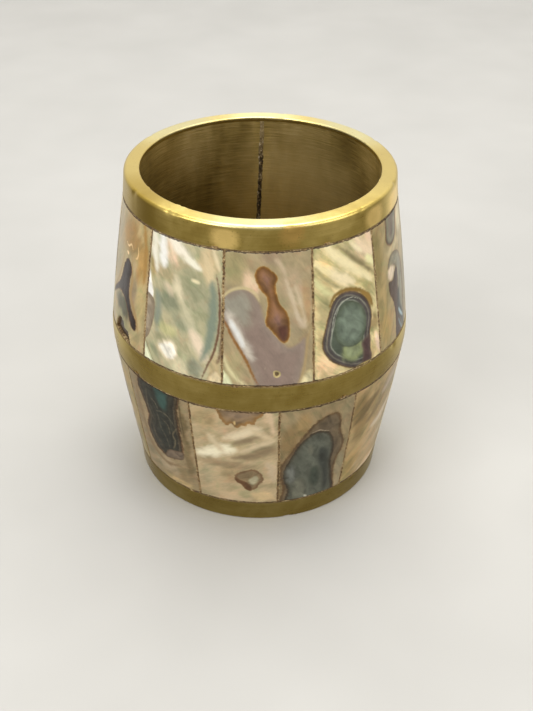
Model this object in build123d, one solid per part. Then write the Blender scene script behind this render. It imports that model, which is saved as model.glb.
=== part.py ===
from build123d import *
import math
import os

os.makedirs("parts", exist_ok=True)

# Pen holder cup: a barrel-shaped brass cup whose outside carries two courses of
# mother-of-pearl tiles between three brass hoops. A rolled brass liner with one
# brazed seam runs the whole height. Resin beds hold the tiles on the liner.
#
# Millimetres. +Z is up along the cup's axis, the origin is the centre of the foot,
# and -Y is the front. The seam of the liner is at the back, on +Y.

# Driving dimensions
total_height = 89.0        # foot to rim
rim_radius = 34.25         # outside radius at the very top, and at the foot
belly_radius = 40.0        # outside radius half way up, on the middle hoop's crown

end_hoop_height = 6.1      # rim hoop and foot hoop
middle_hoop_height = 7.5
end_hoop_flare = 0.55      # how much wider an end hoop is where it meets the tiles
middle_hoop_crown = 0.3    # how far the middle hoop stands out beyond its own edges
tile_crown = 0.2           # outward bow of a tile, half way up its course

tile_thickness = 2.0
bed_thickness = 1.0        # resin between tile and liner
liner_thickness = 1.0
grout_width = 0.4          # upright resin line between two tiles
edge_joint = 0.15          # resin line between a tile and the hoop above or below it

lip_height = 1.2           # the rim hoop covers the liner's top edge this deep
rim_rounding = 0.9         # outer edge of the rim
inner_rounding = 0.35      # inner edge of the rim
foot_rounding = 0.5        # outer edge of the foot

foot_disc_thickness = 1.5
seam_width = 1.2           # gap of the rolled liner, filled with braze
seam_angles = (179.8, 184.0)   # at the rim and at the foot, in degrees from the front: the back

# Each joint between two tiles, as its angle at the top and at the foot of the
# course, in degrees from the front towards +X. The tiles were cut by hand, so no
# two are quite the same width and a few joints lean.
upper_joints = [
    (-79.0, -79.5), (-46.4, -46.8), (-13.1, -12.7), (20.5, 20.2), (49.4, 51.7), (83.5, 83.0),
    (116.0, 116.8), (149.2, 148.6), (181.8, 182.2), (215.5, 214.7), (247.6, 248.4),
]
lower_joints = [
    (-59.5, -59.8), (-26.0, -26.0), (7.9, 9.1), (39.1, 39.9), (72.4, 72.0), (105.6, 105.0),
    (138.0, 138.9), (170.2, 169.6), (203.4, 203.4), (236.5, 237.2), (268.3, 267.7),
]

# Heights where one band of the wall ends and the next begins
foot_hoop_top = end_hoop_height
middle_hoop_low = (total_height - middle_hoop_height) / 2
middle_hoop_mid = total_height / 2
middle_hoop_high = (total_height + middle_hoop_height) / 2
rim_hoop_low = total_height - end_hoop_height
liner_top = total_height - lip_height

# How deep each layer starts below the wall's outer face
bed_depth = tile_thickness
liner_depth = tile_thickness + bed_thickness
wall_thickness = liner_depth + liner_thickness

shoulder_radius = rim_radius + end_hoop_flare
middle_edge_radius = belly_radius - middle_hoop_crown

# The wall's outer face without the tiles' crown, as height and radius
wall_stations = [
    (0.0, rim_radius),
    (foot_hoop_top, shoulder_radius),
    (middle_hoop_low, middle_edge_radius),
    (middle_hoop_mid, belly_radius),
    (middle_hoop_high, middle_edge_radius),
    (rim_hoop_low, shoulder_radius),
    (total_height, rim_radius),
]


def wall_radius(height):
    """Outside radius of the plain wall at a height, between its stations."""
    for (low, low_radius), (high, high_radius) in zip(wall_stations, wall_stations[1:]):
        if height <= high:
            return low_radius + (high_radius - low_radius) * (height - low) / (high - low)
    return rim_radius


def wall_point(height, depth):
    """Point of the profile, `depth` inside the wall's outer face."""
    return (wall_radius(height) - depth, 0, height)


def wall_line(low, high, depth, crown=0.0):
    """Edges of the profile from one height up to another, `depth` inside the face.

    Over the middle hoop the line is an arc through its crown. Elsewhere it is
    straight, or an arc that bows out by `crown`.
    """
    heights = [low] + [h for h, _ in wall_stations if low < h < high] + [high]
    edges = []
    for start, end in zip(heights, heights[1:]):
        if start == middle_hoop_mid:
            continue
        if end == middle_hoop_mid:
            edges.append(ThreePointArc(
                wall_point(start, depth),
                wall_point(middle_hoop_mid, depth),
                wall_point(middle_hoop_high, depth),
            ))
        elif crown:
            edges.append(ThreePointArc(
                wall_point(start, depth),
                wall_point((start + end) / 2, depth - crown),
                wall_point(end, depth),
            ))
        else:
            edges.append(Line(wall_point(start, depth), wall_point(end, depth)))
    return edges


def wall_ring(low, high, outer_depth, inner_depth, crown=0.0):
    """Ring of the wall between two heights and two depths."""
    outer = wall_line(low, high, outer_depth, crown)
    inner = wall_line(low, high, inner_depth)
    foot = Line(wall_point(low, inner_depth), wall_point(low, outer_depth))
    top = Line(wall_point(high, inner_depth), wall_point(high, outer_depth))
    return revolve(Face(Wire(outer + inner + [foot, top])), Axis.Z)


def round_edge(ring, at_top, outermost, radius):
    """Round the outermost or innermost circle of a ring's top or foot."""
    circles = ring.edges().filter_by(GeomType.CIRCLE).group_by(Axis.Z)[-1 if at_top else 0]
    edge = circles.sort_by(lambda circle: circle.radius)[-1 if outermost else 0]
    return fillet(edge, radius)


def upright_blade(width, low, high, top_angle, foot_angle):
    """Thin upright plate from the axis out through the wall, along a joint line.

    The angles are where the line meets the top and the foot of the band, from the
    front towards +X.
    """
    radius = wall_radius((low + high) / 2)
    lean = math.degrees(math.atan2(radius * math.radians(top_angle - foot_angle), high - low))
    plate = Box(2 * radius, width, 1.2 * (high - low), align=(Align.MIN, Align.CENTER, Align.CENTER))
    turn = Rot(0, 0, (top_angle + foot_angle) / 2 - 90)
    return turn * Pos(0, 0, (low + high) / 2) * Rot(-lean, 0, 0) * plate


def course(low, high, joints):
    """Tiles of one course, in the order of their joints, and the resin bed that holds them."""
    band = wall_ring(low, high, 0, bed_depth, tile_crown)
    tile_height = high - low - 2 * edge_joint
    slab = Pos(0, 0, (low + high) / 2) * Cylinder(2 * wall_radius(high), tile_height)
    blades = [upright_blade(grout_width, low, high, top, foot) for top, foot in joints]
    tiles = ((band & slab) - blades).solids()

    bed = wall_ring(low, high, bed_depth, liner_depth) + (band - slab)
    for blade in blades:
        bed += band & blade

    first_joint = sum(joints[0]) / 2

    def angle_past_first_joint(tile):
        centre = tile.center()
        return (math.degrees(math.atan2(centre.Y, centre.X)) + 90 - first_joint) % 360

    return sorted(tiles, key=angle_past_first_joint), bed


parts = {}

# Liner: one rolled sheet, open at its seam, and the braze that fills the seam
rolled_sheet = wall_ring(0, liner_top, liner_depth, wall_thickness)
seam_blade = upright_blade(seam_width, 0, total_height, *seam_angles)
parts["liner"] = rolled_sheet - seam_blade
parts["brazed_seam"] = rolled_sheet & seam_blade

# Foot disc, brazed into the liner's lower end and ground flush with it
parts["foot_disc"] = revolve(Face(Wire([
    Line((0, 0, 0), wall_point(0, wall_thickness)),
    Line(wall_point(0, wall_thickness), wall_point(foot_disc_thickness, wall_thickness)),
    Line(wall_point(foot_disc_thickness, wall_thickness), (0, 0, foot_disc_thickness)),
    Line((0, 0, foot_disc_thickness), (0, 0, 0)),
])), Axis.Z)

# Hoops. The rim hoop has a lip that covers the liner's top edge.
rim_hoop = wall_ring(rim_hoop_low, liner_top, 0, liner_depth)
rim_hoop += wall_ring(liner_top, total_height, 0, wall_thickness)
rim_hoop = round_edge(rim_hoop, True, True, rim_rounding)
parts["rim_hoop"] = round_edge(rim_hoop, True, False, inner_rounding)
parts["middle_hoop"] = wall_ring(middle_hoop_low, middle_hoop_high, 0, liner_depth)
foot_hoop = wall_ring(0, foot_hoop_top, 0, liner_depth)
parts["foot_hoop"] = round_edge(foot_hoop, False, True, foot_rounding)

# Tile courses
courses = {
    "upper": (middle_hoop_high, rim_hoop_low, upper_joints),
    "lower": (foot_hoop_top, middle_hoop_low, lower_joints),
}
for name, (low, high, joints) in courses.items():
    tiles, bed = course(low, high, joints)
    parts[f"{name}_bed"] = bed
    for number, tile in enumerate(tiles, 1):
        parts[f"{name}_tile_{number:02d}"] = tile

for name, shape in parts.items():
    export_step(shape, f"parts/{name}.step")
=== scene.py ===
"""Barrel-shaped brass pen cup, faced with mother-of-pearl tiles between three hoops."""

import math
from collections import namedtuple

import bmesh
import bpy
import numpy as np
from mathutils import Matrix, Vector, noise


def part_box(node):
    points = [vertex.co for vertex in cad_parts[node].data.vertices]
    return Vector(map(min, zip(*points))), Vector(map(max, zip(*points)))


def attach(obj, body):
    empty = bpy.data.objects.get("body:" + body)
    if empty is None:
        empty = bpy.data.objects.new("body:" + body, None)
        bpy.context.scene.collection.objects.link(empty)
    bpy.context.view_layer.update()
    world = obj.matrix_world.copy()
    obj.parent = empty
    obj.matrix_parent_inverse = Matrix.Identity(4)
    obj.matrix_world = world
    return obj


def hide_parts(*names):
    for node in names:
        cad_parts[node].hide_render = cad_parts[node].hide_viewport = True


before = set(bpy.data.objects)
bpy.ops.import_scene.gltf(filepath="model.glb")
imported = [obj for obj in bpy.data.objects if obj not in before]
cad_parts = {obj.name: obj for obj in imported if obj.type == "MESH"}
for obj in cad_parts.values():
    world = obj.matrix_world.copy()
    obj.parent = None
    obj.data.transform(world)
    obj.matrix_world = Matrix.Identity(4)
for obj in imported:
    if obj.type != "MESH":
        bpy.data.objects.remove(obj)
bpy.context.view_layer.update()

# ---------------------------------------------------------------------------
# Sizes, in millimetres. Heights and main radii come from the frame.
# ---------------------------------------------------------------------------

MM = 0.001


def node_box(node):
    """Lowest and highest corner of a CAD node, in millimetres."""
    low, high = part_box(node)
    return low / MM, high / MM


FOOT_TOP = node_box("foot_hoop")[1].z
BELT_LOW = node_box("middle_hoop")[0].z
BELT_HIGH = node_box("middle_hoop")[1].z
RIM_LOW = node_box("rim_hoop")[0].z
TOP = node_box("rim_hoop")[1].z
LINER_TOP = node_box("liner")[1].z
DISC_TOP = node_box("foot_disc")[1].z
SHOULDER_RADIUS = node_box("rim_hoop")[1].x
BELT_RADIUS = node_box("middle_hoop")[1].x

END_FLARE = 0.55       # an end hoop is this much wider where it meets the tiles
BELT_CROWN = 0.3       # the middle hoop stands out this much beyond its edges
TILE_CROWN = 0.2       # a tile bows out this much half way up its course
LINER_DEPTH = 3.0      # from the wall's outer face in to the liner
WALL = 4.0             # from the outer face to the inside of the cup
TILE_DEPTH = 1.9       # how far a tile's back is from the wall's outer face

RIM_RADIUS = SHOULDER_RADIUS - END_FLARE
BELT_EDGE_RADIUS = BELT_RADIUS - BELT_CROWN
BELT_MIDDLE = (BELT_LOW + BELT_HIGH) / 2

WALL_HEIGHTS = [0, FOOT_TOP, BELT_LOW, BELT_MIDDLE, BELT_HIGH, RIM_LOW, TOP]
WALL_RADII = [RIM_RADIUS, SHOULDER_RADIUS, BELT_EDGE_RADIUS, BELT_RADIUS,
              BELT_EDGE_RADIUS, SHOULDER_RADIUS, RIM_RADIUS]
COURSES = {"upper": (BELT_HIGH, RIM_LOW), "lower": (FOOT_TOP, BELT_LOW)}
TILES_IN_COURSE = 11


def wall_radius(height):
    """Outside radius of the cup at a height, between the stations of its wall."""
    return np.interp(height, WALL_HEIGHTS, WALL_RADII)


def on_wall(angle, height, depth=0.0):
    """Point at an angle from the front, in radians, `depth` inside the outer face."""
    radius = wall_radius(height) - depth
    return Vector((radius * math.sin(angle), -radius * math.cos(angle), height))


def wander(x, y, scale, seed):
    """Smooth random value from about -1 to 1 that changes over `scale` millimetres."""
    return noise.noise(Vector((x / scale, y / scale, seed * 7.31)))


NOISE_RADIUS = 30      # of the circle that noise is taken from, about the cup's own


def ring_noise(angle, scale, along):
    """Noise that closes up round the cup, with features of a size in millimetres."""
    x, y = NOISE_RADIUS * math.cos(angle), NOISE_RADIUS * math.sin(angle)
    return noise.noise(Vector((x / scale, y / scale, along)))


def smooth(value, start, end):
    """Smooth step from 0 at start to 1 at end, for numbers and arrays."""
    t = np.clip((value - start) / (end - start), 0, 1)
    return t * t * (3 - 2 * t)


def hue(red, green, blue):
    """Linear colour from the usual 0 to 255 display values."""
    shares = [channel / 255 for channel in (red, green, blue)]
    linear = [c / 12.92 if c <= 0.04045 else ((c + 0.055) / 1.055) ** 2.4 for c in shares]
    return (*linear, 1.0)


# ---------------------------------------------------------------------------
# Shader writing
# ---------------------------------------------------------------------------


class Field:
    """A socket on which sums, products and quotients can be written."""

    def __init__(self, finish, socket):
        self.finish = finish
        self.socket = socket

    def maths(self, operation, *values):
        return self.finish.node("ShaderNodeMath", {"operation": operation}, values)

    def __add__(self, other):
        return self.maths("ADD", self, other)

    __radd__ = __add__

    def __sub__(self, other):
        return self.maths("SUBTRACT", self, other)

    def __rsub__(self, other):
        return self.maths("SUBTRACT", other, self)

    def __mul__(self, other):
        return self.maths("MULTIPLY", self, other)

    __rmul__ = __mul__

    def __truediv__(self, other):
        return self.maths("DIVIDE", self, other)

    def size(self):
        return self.maths("ABSOLUTE", self)

    def most(self, other):
        return self.maths("MAXIMUM", self, other)

    def part(self, axis):
        return self.finish.node("ShaderNodeSeparateXYZ", {}, (self,), output=axis)

    def near(self, point, reach, waver=0.0):
        """1 close to a point in space, falling to 0 at its reach; waver blurs the outline."""
        settings = {"operation": "DISTANCE"}
        gap = self.finish.node("ShaderNodeVectorMath", settings, (self, point), output="Value")
        return (gap + waver).rise(reach, reach * 0.3)

    def rise(self, start, end):
        """Smooth step from 0 where this field is start to 1 where it is end."""
        settings = {"interpolation_type": "SMOOTHSTEP"}
        return self.finish.node("ShaderNodeMapRange", settings, (self, start, end, 0, 1))


class Finish:
    """A material under construction, with one method that makes any node."""

    def __init__(self, name, tree=None):
        if tree is None:
            self.material = bpy.data.materials.new(name)
            self.material.use_nodes = True
            tree = self.material.node_tree
            self.surface = tree.nodes["Principled BSDF"]
        self.tree = tree

    def node(self, kind, settings=None, inputs=(), output=0):
        """Makes a node, applies its settings, then fills or links its sockets."""
        made = self.tree.nodes.new(kind)
        for key, value in (settings or {}).items():
            if key == "stops":
                self.set_stops(made.color_ramp, value)
            else:
                setattr(made, key, value)
        items = inputs.items() if isinstance(inputs, dict) else enumerate(inputs)
        for key, value in items:
            self.feed(made.inputs[key], value)
        return Field(self, made.outputs[output])

    def feed(self, socket, value):
        if isinstance(value, Field):
            self.tree.links.new(value.socket, socket)
        else:
            socket.default_value = value

    @staticmethod
    def set_stops(ramp, stops):
        ramp.elements[0].position, ramp.elements[0].color = stops[0]
        ramp.elements[1].position, ramp.elements[1].color = stops[-1]
        for position, colour in stops[1:-1]:
            ramp.elements.new(position).color = colour

    def object_place(self, size=(1, 1, 1)):
        """Object coordinates, counted in units of a size in millimetres."""
        place = self.node("ShaderNodeTexCoord", output="Object")
        return self.texture_place(place, tuple(part * MM for part in size))

    def map_place(self, name, size=(1, 1), turn=0.0):
        """A UV map's coordinates, turned and then counted in units of a size."""
        place = self.node("ShaderNodeUVMap", {"uv_map": name})
        return self.texture_place(place, (*size, 1), turn)

    def texture_place(self, place, size, turn=0.0):
        settings = {"vector_type": "TEXTURE"}
        inputs = {"Vector": place, "Rotation": (0, 0, turn), "Scale": size}
        return self.node("ShaderNodeMapping", settings, inputs)

    def attribute(self, name, colour=False):
        settings = {"attribute_name": name, "attribute_type": "GEOMETRY"}
        return self.node("ShaderNodeAttribute", settings, output="Color" if colour else "Fac")

    def cloud(self, place, scale=1.0, detail=3.0, roughness=0.55, warp=0.0):
        inputs = {"Vector": place, "Scale": scale, "Detail": detail,
                  "Roughness": roughness, "Distortion": warp}
        return self.node("ShaderNodeTexNoise", {}, inputs)

    def blend(self, share, first, second, mode="MIX"):
        """Colour `first` turned into `second`, or multiplied by it, by a share from 0 to 1."""
        settings = {"data_type": "RGBA", "blend_type": mode}
        return self.node("ShaderNodeMix", settings, {0: share, 6: first, 7: second}, output=2)

    def dim(self, colour, share):
        """Colour multiplied by a share that varies over the surface."""
        grey = self.node("ShaderNodeCombineColor", {}, (share, share, share))
        return self.blend(1.0, colour, grey, "MULTIPLY")

    def ramp(self, share, stops):
        return self.node("ShaderNodeValToRGB", {"stops": stops}, (share,))

    def bump(self, height, distance, strength=1.0):
        inputs = {"Strength": strength, "Distance": distance, "Height": height}
        return self.node("ShaderNodeBump", {}, inputs)

    def set(self, **sockets):
        """Sets or links the shader's sockets, named with underscores for spaces."""
        for name, value in sockets.items():
            self.feed(self.surface.inputs[name.replace("_", " ")], value)
        return self.material


# ---------------------------------------------------------------------------
# Mesh helpers
# ---------------------------------------------------------------------------


CREASE = math.radians(50)


def finish_piece(bm, name, material, nodes):
    """Turns a bmesh in millimetres into a piece of the cup, in metres."""
    bmesh.ops.recalc_face_normals(bm, faces=bm.faces)
    bmesh.ops.scale(bm, vec=(MM, MM, MM), verts=bm.verts)
    mesh = bpy.data.meshes.new(name)
    bm.to_mesh(mesh)
    bm.free()
    mesh.polygons.foreach_set("use_smooth", [True] * len(mesh.polygons))
    mesh.set_sharp_from_angle(angle=CREASE)
    mesh.materials.append(material)
    piece = bpy.data.objects.new(name, mesh)
    bpy.context.scene.collection.objects.link(piece)
    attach(piece, "root")
    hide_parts(*nodes)
    return piece


ARC_STEPS = 5          # edges of a rounded corner


def rounded(corners, longest=0.8):
    """Closed outline of (radius, height) from corners (radius, height, rounding)."""
    outline = []
    count = len(corners)
    for index, (x, y, rounding) in enumerate(corners):
        here = Vector((x, y))
        back = Vector(corners[index - 1][:2]) - here
        ahead = Vector(corners[(index + 1) % count][:2]) - here
        if rounding == 0:
            outline.append(here)
            continue
        half = back.angle(ahead) / 2
        back.normalize()
        ahead.normalize()
        reach = rounding / math.tan(half)
        start, end = here + back * reach, here + ahead * reach
        centre = here + (back + ahead).normalized() * rounding / math.sin(half)
        for step in range(ARC_STEPS + 1):
            spoke = (start - centre).slerp(end - centre, step / ARC_STEPS)
            outline.append(centre + rounding * spoke)
    divided = []
    for start, end in zip(outline, outline[1:] + outline[:1]):
        parts = max(1, math.ceil((end - start).length / longest))
        divided += [start.lerp(end, part / parts) for part in range(parts)]
    return divided


def lathe(outline, steps):
    """Closed ring from a closed outline of (radius, height), turned about the axis."""
    bm = bmesh.new()
    verts = [bm.verts.new((x, 0, y)) for x, y in outline]
    edges = [bm.edges.new((a, b)) for a, b in zip(verts, verts[1:] + verts[:1])]
    bmesh.ops.spin(bm, geom=verts + edges, axis=(0, 0, 1), cent=(0, 0, 0),
                   angle=math.tau, steps=steps, use_merge=True)
    return bm


def push(vert, outward=0.0, up=0.0):
    """Moves a vertex away from the axis and up."""
    flat = Vector((vert.co.x, vert.co.y, 0))
    if flat.length:
        vert.co += flat.normalized() * outward
    vert.co.z += up


# ---------------------------------------------------------------------------
# Brass
# ---------------------------------------------------------------------------


CLEAR = 5              # an edge this far beyond a piece gets no dirt


def hoop_brass(name, low, high, polished=(), reflections=(), brightness=1.0, rough=0.30):
    """Hand-polished brass, dulled to olive, with brown dirt along its low and high edge.

    Polished spots are (angle in degrees, height, reach) places painted as highlights,
    pale gold and less metallic. Painted reflections are (angle, height, reach, colour,
    lowest height): lighter and darker patches of reflection painted into the colour, and
    they keep the metal's gloss.
    """
    skin = Finish(name)
    place = skin.object_place()
    height = place.part("Z")
    drag = skin.cloud(skin.object_place((10, 10, 0.45)), detail=5, roughness=0.65)
    patina = skin.cloud(place, scale=0.11, detail=4, roughness=0.6, warp=0.4)
    speck = skin.cloud(place, scale=1.7, detail=3, roughness=0.7)
    edge = (height - low).size().rise(0.55, 0.05)
    edge = edge.most((height - high).size().rise(0.55, 0.05))
    dirt = (edge * (0.45 + speck)).rise(0.3, 0.75)
    colour = skin.ramp(patina + 0.35 * (drag - 0.5), [
        (0.30, (0.60, 0.440, 0.110, 1)),
        (0.45, (0.68, 0.515, 0.140, 1)),
        (0.58, (0.76, 0.590, 0.180, 1)),
        (0.72, (0.85, 0.670, 0.230, 1)),
    ])
    colour = skin.blend(1.0, colour, (brightness, brightness, brightness, 1), "MULTIPLY")
    waver = 5 * (patina - 0.5) + 2 * (speck - 0.5)
    painted_light = 0.0
    # Polished spots painted as highlights: pale gold and less metallic, so they look bright.
    for angle, at, reach in polished:
        spot = place.near(on_wall(math.radians(angle), at), reach, waver) * (0.4 + patina)
        painted_light = spot * height.rise(at + 3.2, at + 1.8) + painted_light
    # Painted reflections: lighter and darker patches of the room, painted into the colour.
    for angle, at, reach, tint, lowest in reflections:
        reflected = place.near(on_wall(math.radians(angle), at), reach, waver) * (0.4 + patina)
        reflected = reflected * height.rise(lowest, lowest + 1)
        colour = skin.blend(reflected, colour, tint)
    if polished:
        colour = skin.blend(painted_light, colour, (1.0, 0.73, 0.26, 1))
    colour = skin.blend((speck - 0.5).rise(0.10, 0.22) * 0.35, colour, (0.26, 0.175, 0.055, 1))
    colour = skin.blend(dirt * 0.8, colour, (0.08, 0.05, 0.02, 1))
    return skin.set(
        Base_Color=colour,
        Metallic=1.0 - 0.6 * dirt - 0.42 * painted_light,
        Roughness=rough + 0.16 * (drag - 0.5) + 0.22 * (patina - 0.5) + 0.3 * dirt,
        Normal=skin.bump(0.6 * drag + 0.4 * speck, 0.00008, 0.5),
    )


def liner_brass():
    """The aged inside of the cup: brushed brass, with brown staining beside the seam, painted light
    high on the back wall and painted shade low down and on the left.
    """
    skin = Finish("liner_brass")
    place = skin.object_place()
    brush = skin.cloud(skin.object_place((20, 20, 0.55)), detail=6, roughness=0.7)
    fine = skin.cloud(skin.object_place((4, 4, 0.16)), detail=3, roughness=0.6)
    stain = skin.cloud(skin.object_place((13, 13, 40)), detail=3, roughness=0.6, warp=0.6)
    seam = place.part("X").size().rise(3.4, 0.6) * place.part("Y").rise(0, 10)
    # Painted light: brighter zones high on the back wall.
    painted_light = place.near(Vector((13, 34, 70)), 30).most(place.near(Vector((-24, 28, 82)), 16))
    tone = 0.30 * brush + 0.46 * fine + 0.50 * stain - 0.155 - 0.12 * seam + 0.13 * painted_light
    colour = skin.ramp(tone, [
        (0.34, (0.26, 0.185, 0.056, 1)),
        (0.48, (0.49, 0.365, 0.120, 1)),
        (0.60, (0.68, 0.525, 0.215, 1)),
        (0.74, (0.86, 0.71, 0.35, 1)),
    ])
    # Painted shade: darker lower down inside the cup and on the left wall, less where the back wall
    # is lit.
    deep_shade = 0.75 * place.part("Z").rise(82, 44) - 0.95 * place.near(Vector((15, 30, 48)), 42)
    deep_shade = deep_shade.most(0.0) + 0.5 * place.near(Vector((-31, 0, 72)), 22)
    colour = skin.blend(deep_shade, colour, (0.27, 0.195, 0.058, 1))
    # Painted light: a pale gold pool on the back wall.
    colour = skin.blend(place.near(Vector((12, 30, 60)), 30) * 0.6, colour, (1.0, 0.78, 0.34, 1))
    return skin.set(
        Base_Color=colour,
        Metallic=0.8,
        Roughness=0.42 + 0.3 * (stain - 0.5) + 0.15 * seam,
        Normal=skin.bump(brush + 0.5 * fine, 0.00012, 0.6),
    )


def seam_braze():
    """Rough spelter in the liner's seam, pitted, with a few bright crumbs."""
    skin = Finish("seam_braze")
    lump = skin.cloud(skin.object_place((1, 1, 1.8)), scale=1.3, detail=4, roughness=0.7)
    patch = skin.cloud(skin.object_place((6, 6, 9)), detail=2)
    colour = skin.ramp(lump, [
        (0.40, (0.035, 0.024, 0.012, 1)),
        (0.52, (0.12, 0.085, 0.040, 1)),
        (0.58, (0.38, 0.29, 0.16, 1)),
        (0.64, (0.90, 0.82, 0.64, 1)),
    ])
    clean = (skin.object_place().part("Z") / 60 + patch).rise(1.62, 1.98)
    colour = skin.blend(clean * 0.85, colour, (0.36, 0.27, 0.13, 1))
    return skin.set(
        Base_Color=colour,
        Metallic=0.5,
        Roughness=0.6,
        Normal=skin.bump(lump, 0.0006, 0.9),
    )


def bed_resin():
    """Tinted resin that fills the joints: brown, crumbly, with pale shell dust."""
    skin = Finish("joint_resin")
    place = skin.object_place()
    crumb = skin.cloud(place, scale=1.5, detail=3, roughness=0.75)
    shade = skin.cloud(place, scale=0.3, detail=2)
    colour = skin.ramp(0.7 * crumb + 0.3 * shade, [
        (0.40, hue(64, 44, 22)),
        (0.48, hue(110, 84, 48)),
        (0.55, hue(150, 124, 80)),
        (0.66, hue(206, 186, 142)),
    ])
    return skin.set(
        Base_Color=colour,
        Roughness=0.6,
        Normal=skin.bump(crumb, 0.0003, 0.7),
    )


HOOP_STEPS = 288
DENT_PEAK = 1.7        # a dent's deepest point against its nominal depth
JOINT_BAND = 0.3       # height of the strip of a hoop that wavers along the tiles

# Dents are (angle in degrees, height, reach, nominal depth)
RIM_NICKS = [
    (-38, TOP - 0.3, 0.9, 0.22), (-34.5, TOP - 0.2, 0.7, 0.16), (-61, TOP - 0.4, 1.2, 0.15),
    (12, TOP - 0.4, 0.8, 0.12), (27, RIM_LOW + 0.4, 1.3, 0.20), (44, TOP - 0.2, 0.9, 0.14),
    (73, TOP - 0.5, 1.1, 0.18), (118, TOP - 0.3, 1.0, 0.2), (171, TOP - 0.3, 1.4, 0.16),
    (-120, TOP - 0.3, 1.0, 0.2), (-155, RIM_LOW + 0.5, 1.2, 0.2), (-17, RIM_LOW + 0.2, 1.4, 0.16),
]
BELT_DENTS = [
    (-52, BELT_LOW + 0.4, 1.5, 0.2), (-8, BELT_HIGH - 0.3, 1.2, 0.18),
    (33, BELT_LOW + 0.2, 1.6, 0.2), (61, BELT_HIGH - 0.5, 1.4, 0.16),
    (105, BELT_LOW + 0.4, 1.5, 0.2), (190, BELT_HIGH - 0.3, 1.6, 0.2),
    (-95, BELT_HIGH - 0.4, 1.3, 0.18), (18, BELT_MIDDLE, 2.0, 0.08),
]
FOOT_DENTS = [
    (-30, FOOT_TOP - 0.3, 1.3, 0.2), (14, 0.6, 1.6, 0.2), (48, FOOT_TOP - 0.2, 1.2, 0.16),
    (140, 0.5, 1.5, 0.2), (-110, FOOT_TOP - 0.3, 1.2, 0.2), (-160, 0.6, 1.4, 0.2),
]


def dent_depth(angle, radius, height, dents):
    """How far a point of a hoop is pushed in by its dents."""
    depth = 0.0
    for at, dent_height, reach, amount in dents:
        along = math.radians((math.degrees(angle) - at + 180) % 360 - 180) * radius
        gap = math.hypot(along, height - dent_height) / reach
        if gap < 1:
            depth += DENT_PEAK * amount * (1 - gap * gap) ** 2
    return depth


def hoop(name, corners, material, dents, seed):
    """One brass hoop: lathed, then made a little uneven, as filed and polished by hand."""
    bm = lathe(rounded(corners), HOOP_STEPS)
    low = min(v.co.z for v in bm.verts)
    high = max(v.co.z for v in bm.verts)
    for vert in bm.verts:
        height = vert.co.z
        radius = math.hypot(vert.co.x, vert.co.y)
        if radius < wall_radius(height) - 1.5 and height < high - 0.05:
            continue
        angle = math.atan2(vert.co.x, -vert.co.y)
        swell = ring_noise(angle, 9, height / 6 + seed)
        ripple = ring_noise(angle, 1.1, height / 4 + seed)
        outward = 0.035 * swell + 0.012 * ripple - dent_depth(angle, radius, height, dents)
        edge_wave = 0.07 * ring_noise(angle, 2.2, seed * 3 + 9)
        edge_wave += 0.05 * ring_noise(angle, 0.7, seed * 5)
        over_tiles = low > 1 and height < low + JOINT_BAND
        under_tiles = high < TOP - 1 and height > high - JOINT_BAND
        push(vert, outward, edge_wave if over_tiles or under_tiles else 0.0)
    finish_piece(bm, name, material, [name])


# Colours of the painted reflections on the rim: pale at the front and back of the top face, muted
# between them, painted shade on the left and right, a dark painted reflection on the left of the
# face and a small orange painted highlight.
PALE = (0.94, 0.84, 0.42, 1)
MUTED = (0.62, 0.56, 0.30, 1)
SIDE_SHADE = (0.52, 0.40, 0.13, 1)
DARK = (0.38, 0.26, 0.04, 1)
ORANGE = (0.98, 0.66, 0.20, 1)

# Polished spots on the rim face, painted as highlights
RIM_HIGHLIGHTS = [(-13, 85.4, 4.6), (52, 85.4, 4.4), (71, 85, 7)]
TOP_FACE = TOP - 1.2   # a painted reflection that starts here keeps to the rim's top face
# Painted reflections and painted shade on the rim, each (angle, height, reach, colour, lowest
# height)
RIM_REFLECTIONS = [
    (-90, TOP, 27, SIDE_SHADE, TOP - 6), (90, TOP, 27, SIDE_SHADE, TOP - 1), (-58, 85, 15, DARK, 0),
    (0, TOP, 17, PALE, TOP_FACE), (180, TOP, 15, PALE, TOP_FACE), (13, 87, 4, ORANGE, 0),
    (-135, TOP, 18, MUTED, TOP_FACE), (133, TOP, 18, MUTED, TOP_FACE),
]


def wall_corner(height, depth, rounding=0.0):
    return (wall_radius(height) - depth, height, rounding)


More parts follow.
